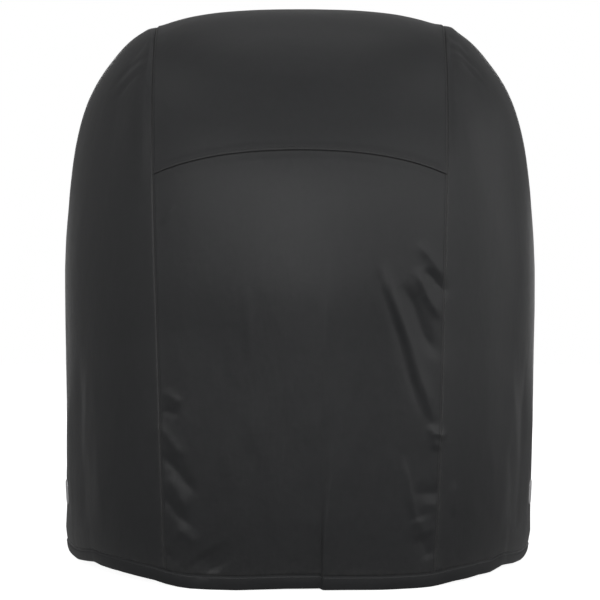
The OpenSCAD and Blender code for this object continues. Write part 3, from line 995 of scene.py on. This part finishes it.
def back_hem(s):
    across = middle_across("back")
    return seam_angle(s, across), 2 - s + 0 * across


def side_hem(s):
    return resampled(*hem_path(s), side_shares)


hems = {
    "front_hem": hem_rings(front_hem),
    "back_hem": hem_rings(back_hem)[::-1],
    "right_hem": hem_rings(side_hem),
    "left_hem": hem_rings(side_hem, -1),
}
for name, rings in hems.items():
    placed(ring_mesh(name + "_band", rings, hem_fabric), name)

# Top-stitching, one piece along each seam, with its distance from the seam.
BY_SEAM, BY_ARC, BY_HEM = 0.0052, 0.0045, HEM_H - 0.0042
threads = {
    "right_seam_stitches": [seam_path(BY_SEAM, 1)],
    "left_seam_stitches": [seam_path(BY_SEAM, -1)],
    "front_arc_stitches": [arc_path(BY_ARC, False)],
    "back_arc_stitches": [arc_path(BY_ARC, True)],
    "front_hem_stitches": [hem_path_points(BY_HEM, front_hem)],
    "back_hem_stitches": [hem_path_points(BY_HEM, back_hem)],
    "right_hem_stitches": [hem_path_points(BY_HEM, hem_path)],
    "left_hem_stitches": [hem_path_points(BY_HEM, hem_path, -1)],
}
for name, paths in threads.items():
    placed(stitches(name, paths), None)

# Tapes bound over the seams inside.
TAPE_HALF, TAPE_T = 0.012, 0.0007
TAPE_ACROSS = np.array([-1, -0.75, -0.5, -0.3, -0.2, -0.1, 0, 0.1, 0.2, 0.3, 0.5, 0.75, 1]) * TAPE_HALF


def seam_tape_grid(sign):
    t = np.linspace(HEM_S, 2 - HEM_S, 800)[None, :]
    angle = np.arcsin((seam_x(s_of(t)) + TAPE_ACROSS[:, None]) / HALF_W)
    dip = seam_relief(np.abs(TAPE_ACROSS), 0)[:, None]
    return stand_out(*skin_and_normal(angle, t, sign), dip - CLOTH_T - 0.0004)[::sign]


def arc_tape_grid(back):
    across = np.linspace(-0.94, 0.94, 180)[:, None]
    s = above_arc(across, TAPE_ACROSS[None, :])
    t = 2 - s[:, ::-1] if back else s
    dip = -0.0013 * bell(TAPE_ACROSS, 0.0022)[None, :]
    return stand_out(*skin_and_normal(seam_angle(s_of(t), across), t), dip - CLOTH_T - 0.0009)


tapes = {
    "right_seam_tape": seam_tape_grid(1),
    "left_seam_tape": seam_tape_grid(-1),
    "front_yoke_tape": arc_tape_grid(False),
    "back_yoke_tape": arc_tape_grid(True),
}
for name, grid in tapes.items():
    placed(sheet_mesh(name + "_binding", grid, TAPE_T, tape_cloth), name)


# ---------------------------------------------------------------- strap patches, straps and hook tape
PATCH_T, PATCH_H = 0.0014, 0.032
PATCH_COLUMNS, PATCH_ROWS = 40, 24
STRAP_T, STRAP_W = 0.0016, 0.025
STRAP_Z = 0.034114  # lower edge of the strap
STRAP_FILLET = 0.014  # how far from the bend its rounding begins
STRAP_RIB, STRAP_RIB_PITCH = 0.00008, 0.0044
STRAP_START = np.array([0.406166, -0.135862])  # plan points that the strap runs through
STRAP_BEND = np.array([0.405589, 0.140043])
STRAP_END = np.array([0.375826, 0.201265])


def patch_grid(back, sign):
    """A patch takes the middle seventh of the way from the seam tape to the side, above the hem."""
    u, v = np.linspace(0, 1, PATCH_COLUMNS)[:, None], np.linspace(0, 1, PATCH_ROWS)[None, :]
    levels = mix(HEM_S, float(s_at(HEM_H + PATCH_H)), v)
    first = np.arcsin((seam_x(levels) + TAPE_HALF) / HALF_W)
    angle = mix(first, math.pi / 2, mix(3 / 7, 4 / 7, u))
    place = (angle[::-1], 2 - levels) if back else (angle, levels)
    edge = np.minimum(np.minimum(u, 1 - u) * 2, np.minimum(v, 1 - v))
    soft = 0.0003 * (1 - smooth(edge / 0.06))
    return stand_out(*skin_and_normal(*place, sign), -CLOTH_T - 0.0003 - soft)[::sign]


def strap_path(step):
    """Plan points of the strap with a rounded bend, the way to its left, and their distance along it."""
    first, last = (STRAP_BEND + STRAP_FILLET * unit(end - STRAP_BEND) for end in (STRAP_START, STRAP_END))
    k = np.linspace(0, 1, 24)[:, None]
    curve = (1 - k) ** 2 * first + 2 * k * (1 - k) * STRAP_BEND + k**2 * last
    line = np.concatenate([[STRAP_START], curve, [STRAP_END]])
    cum = cumulative(line)
    at = np.linspace(0, cum[-1], int(cum[-1] / step))
    points = points_at(at, cum, line)
    way = unit(np.gradient(points, axis=0))
    return points, np.stack([-way[:, 1], way[:, 0]], -1), at


def strap_rings():
    """Cross-sections of the webbing: thin long edges, fine ribs across, and closed ends."""
    points, left, at = strap_path(0.0011)
    across = np.linspace(-1, 1, 15)
    flat = STRAP_T / 2 * (1 - 0.75 * np.abs(across) ** 10)
    out = np.concatenate([flat, -flat[::-1]])
    up = np.concatenate([across, across[::-1]]) * STRAP_W / 2
    ends = smooth(np.minimum(at, at[-1] - at) / 0.0015)
    rib = STRAP_RIB * np.sin(at * 2 * math.pi / STRAP_RIB_PITCH)
    off = out * ends[:, None] + rib[:, None] * np.sign(out)
    plan = points[:, None] + off[..., None] * left[:, None]
    return np.concatenate([plan, np.broadcast_to(STRAP_Z + STRAP_W / 2 + up, off.shape)[..., None]], -1)


def hook_grid_mesh(name, side_sign):
    """Hook tape on the strap: a thin base with rows of small hooks."""
    way = unit(STRAP_END - STRAP_BEND)
    out = np.array([way[1], -way[0]])
    first, last = mix(STRAP_BEND, STRAP_END, 0.16), mix(STRAP_BEND, STRAP_END, 0.95)
    length = np.linalg.norm(last - first)
    vertices, faces = [], []

    def at(u, v, o):
        p = first + way * u + out * (STRAP_T / 2 + o)
        return (side_sign * p[0], p[1], STRAP_Z + v)

    def block(u0, u1, v0, v1, o0, o1, taper=0.0):
        base = len(vertices)
        for o, cut in ((o0, 0.0), (o1, taper)):
            (ua, ub), (va, vb) = (u0 + cut, u1 - cut), (v0 + cut, v1 - cut)
            vertices.extend(at(u, v, o) for u, v in ((ua, va), (ub, va), (ub, vb), (ua, vb)))
        quads = [(0, 3, 2, 1), (4, 5, 6, 7), (0, 1, 5, 4), (1, 2, 6, 5), (2, 3, 7, 6), (3, 0, 4, 7)]
        faces.extend(tuple(base + i for i in (q if side_sign > 0 else q[::-1])) for q in quads)

    block(0, length, 0.001, STRAP_W - 0.001, 0.00002, 0.0006, 0.0002)
    for u in np.arange(0.0018, length - 0.0018, 0.0019):
        for v in np.arange(0.0026, STRAP_W - 0.0026, 0.0017):
            block(u - 0.0003, u + 0.0003, v - 0.0003, v + 0.0003, 0.0005, 0.00095)
            block(u - 0.0003, u + 0.00065, v - 0.0003, v + 0.0003, 0.00095, 0.00115, 0.0001)
    return new_object(name, vertices, faces, hook_plastic, smooth_faces=False)


def patch_stitches(grid):
    """Lines of stitches along the four edges of a patch's inner face."""
    normals = grid_normals(grid)
    inner = grid - (PATCH_T + 0.0001) * normals
    low, right, high = 2, PATCH_COLUMNS - 3, PATCH_ROWS - 3
    i, j = np.arange(low, right + 1), np.arange(low, high + 1)
    out = []
    for place in ((i, 0 * i + low), (i, 0 * i + high), (0 * j + low, j), (0 * j + right, j)):
        cum = cumulative(inner[place])
        marks = np.arange(0.001, cum[-1], STITCH_STEP)
        out.append((points_at(marks, cum, inner[place]), points_at(marks, cum, -normals[place])))
    return out


for side_name, sign in SIDES.items():
    for part, back, material, slot in (
        ("strap_anchor", False, webbing, "webbing"),
        ("loop_patch", True, loop_pile, "loop_pile"),
    ):
        grid, node = patch_grid(back, sign), side_name + "_" + part
        placed(sheet_mesh(node + "_pad", grid, PATCH_T, material), node)
        placed(stitches(node + "_stitches", patch_stitches(grid)), None)

rings = strap_rings()
for side_name, sign in SIDES.items():
    body = side_name + "_strap_body"
    here = rings[::-1] if sign > 0 else rings * (-1, 1, 1)
    placed(ring_mesh(side_name + "_strap_webbing", here, webbing), side_name + "_strap", body)
    placed(hook_grid_mesh(side_name + "_hook_tape", sign), side_name + "_strap_hook", body)


# ---------------------------------------------------------------- badges and label
BADGE_H, BADGE_W = 0.048, 0.026
BADGE_SUNK = 0.0001  # how far it presses into the cloth
BADGE_PROFILE = [
    (0.0, -0.1), (0.0, 1.0), (0.2, 1.4), (0.6, 1.7), (1.1, 1.8), (1.6, 1.7), (2.0, 1.4), (2.5, 1.2),
    (4.0, 1.25), (6.0, 1.4), (8.5, 1.55), (11.0, 1.65), (12.7, 1.7),
]  # inset and height in millimetres, from the edge to the middle


def badge(name, sign):
    """The badge lies on the side's cloth, square to the skin at its middle."""
    (centre,), (out,) = skin_and_normal([BADGE_ANGLE], [float(s_at(BADGE_Z))], sign)
    across = np.array([-out[1], out[0], 0]) / math.hypot(out[0], out[1])
    up = np.cross(out, across)
    cloth = side_outers[sign] - centre
    near = (np.abs(cloth @ across) < BADGE_W / 2) & (np.abs(cloth @ up) < BADGE_H / 2)
    near &= cloth @ out > -0.02
    foot = centre + ((cloth[near] @ out).max() - BADGE_SUNK) * out
    turn = np.linspace(0, 2 * math.pi, 97)[:-1]
    flank = (BADGE_H - BADGE_W) / 2
    rings = []
    for inset, height in BADGE_PROFILE:
        r = BADGE_W / 2 - inset / 1000
        y, z = (r * np.cos(turn))[:, None], (r * np.sin(turn) + flank * np.sign(np.sin(turn)))[:, None]
        rings.append(foot + y * across + z * up + height / 1000 * out)
    return ring_mesh(name, np.array(rings), badge_metal)


for side_name, sign in SIDES.items():
    placed(badge(side_name + "_oval_badge", sign), side_name + "_badge")


def label_grid():
    """The label hangs inside the back hem, and curls away from it and waves towards its lower edge."""
    low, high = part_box("care_label")
    across = np.linspace(high[0], low[0], 30)[:, None]
    levels = np.linspace(high[2], low[2], 24)[None, :]
    hang = (high[2] - levels) / (high[2] - low[2])
    wave = np.sin(3 * math.pi * (across - low[0]) / (high[0] - low[0]))
    curl = 0.0012 + 0.004 * hang**2 + 0.0012 * wave * hang
    place = skin_and_normal(np.arcsin(across / HALF_W), 2 - s_at(levels))
    return stand_out(*place, -CLOTH_T - HEM_T * 0.6 - curl)


LABEL_T = 0.0003
placed(sheet_mesh("care_label_satin", label_grid(), LABEL_T, label_satin), "care_label")


# ---------------------------------------------------------------- camera, floor and light
camera_data = bpy.data.cameras.new("camera")
camera_data.lens = LENS_MM
camera_data.sensor_width = 36
camera = in_scene("camera", camera_data)
camera.location = (0, -CAMERA_DISTANCE, CAMERA_HEIGHT)
camera.rotation_euler = (math.pi / 2, 0, 0)
bpy.context.scene.camera = camera

# Soft boxes that look at the middle of the cover: azimuth, elevation, distance, width, height and watts.
LIGHTS = {
    "front_low": (0, 5, 4.0, 2.6, 0.5, 5.9),
    "front_mid": (0, 12, 4.0, 2.6, 0.5, 12.4),
    "front_high": (0, 42, 4.0, 2.6, 0.5, 3.7),
    "left_front": (-34, 14, 4.0, 2.0, 1.3, 11.6),
    "right_front": (34, 14, 4.0, 2.0, 1.3, 10.1),
    "left_high": (-34, 46, 4.0, 1.8, 0.9, 2.0),
    "right_high": (34, 46, 4.0, 1.8, 0.9, 1.6),
    "left_side": (-62, 10, 4.0, 2.0, 2.0, 4),
    "right_side": (62, 10, 4.0, 2.0, 2.0, 10.1),
    "left_side_high": (-70, 45, 4.0, 2.0, 1.2, 3.8),
    "right_side_high": (70, 45, 4.0, 2.0, 1.2, 4.6),
    "left_rim": (-98, 12, 4.0, 1.6, 2.4, 1.5),
    "right_rim": (98, 12, 4.0, 1.6, 2.4, 7.4),
    "left_back": (-155, 0, 4.0, 1.8, 0.9, 1.5),
    "right_back": (155, 0, 4.0, 1.8, 0.9, 2.5),
    "back_middle": (180, 14, 4.0, 3.0, 1.2, 24),
    "top_box": (0, 85, 3.2, 2.6, 2.6, 6.7),
}
LOOK_AT_Z = 0.5  # height of the point that they look at
WORLD_LIGHT = 0.133  # light from all round; the camera itself sees white

for name, (azimuth, elevation, distance, width, height, watts) in LIGHTS.items():
    data = bpy.data.lights.new(name, "AREA")
    data.shape, data.size, data.size_y, data.energy = "RECTANGLE", width, height, watts
    light = in_scene(name, data)
    a, e = math.radians(azimuth), math.radians(elevation)
    way = Vector((math.sin(a) * math.cos(e), -math.cos(a) * math.cos(e), math.sin(e)))
    light.location = Vector((0, 0, LOOK_AT_Z)) + way * distance
    light.rotation_euler = way.to_track_quat("Z", "Y").to_euler()
    light.visible_camera = False

world = bpy.data.worlds.new("studio")
bpy.context.scene.world = world
world.use_nodes = True
tree = world.node_tree
background = tree.nodes["Background"]
background.inputs["Color"].default_value = (1, 1, 1, 1)
path = tree.nodes.new("ShaderNodeLightPath")
seen = tree.nodes.new("ShaderNodeMapRange")
seen.inputs["To Min"].default_value = WORLD_LIGHT
tree.links.new(path.outputs["Is Camera Ray"], seen.inputs["Value"])
tree.links.new(seen.outputs["Result"], background.inputs["Strength"])
bpy.context.scene.view_settings.view_transform = "Standard"

FLOOR_R, FLOOR_Z, FLOOR_GLOW = 9.0, -0.0006, 0.93
turn = np.linspace(0, 2 * math.pi, 65)[:-1]
floor_vertices = np.stack([FLOOR_R * np.sin(turn), -FLOOR_R * np.cos(turn), 0 * turn + FLOOR_Z], -1)
floor_material = Nodes("studio_floor", Base_Color=(0.8, 0.8, 0.8, 1), Roughness=0.9, Specular_IOR_Level=0.0)
floor_material.shader.inputs["Emission Color"].default_value = (1, 1, 1, 1)
floor_material.shader.inputs["Emission Strength"].default_value = FLOOR_GLOW
floor = new_object("floor", floor_vertices, [list(range(len(turn)))], floor_material.done(), False)
floor.visible_diffuse = floor.visible_glossy = False
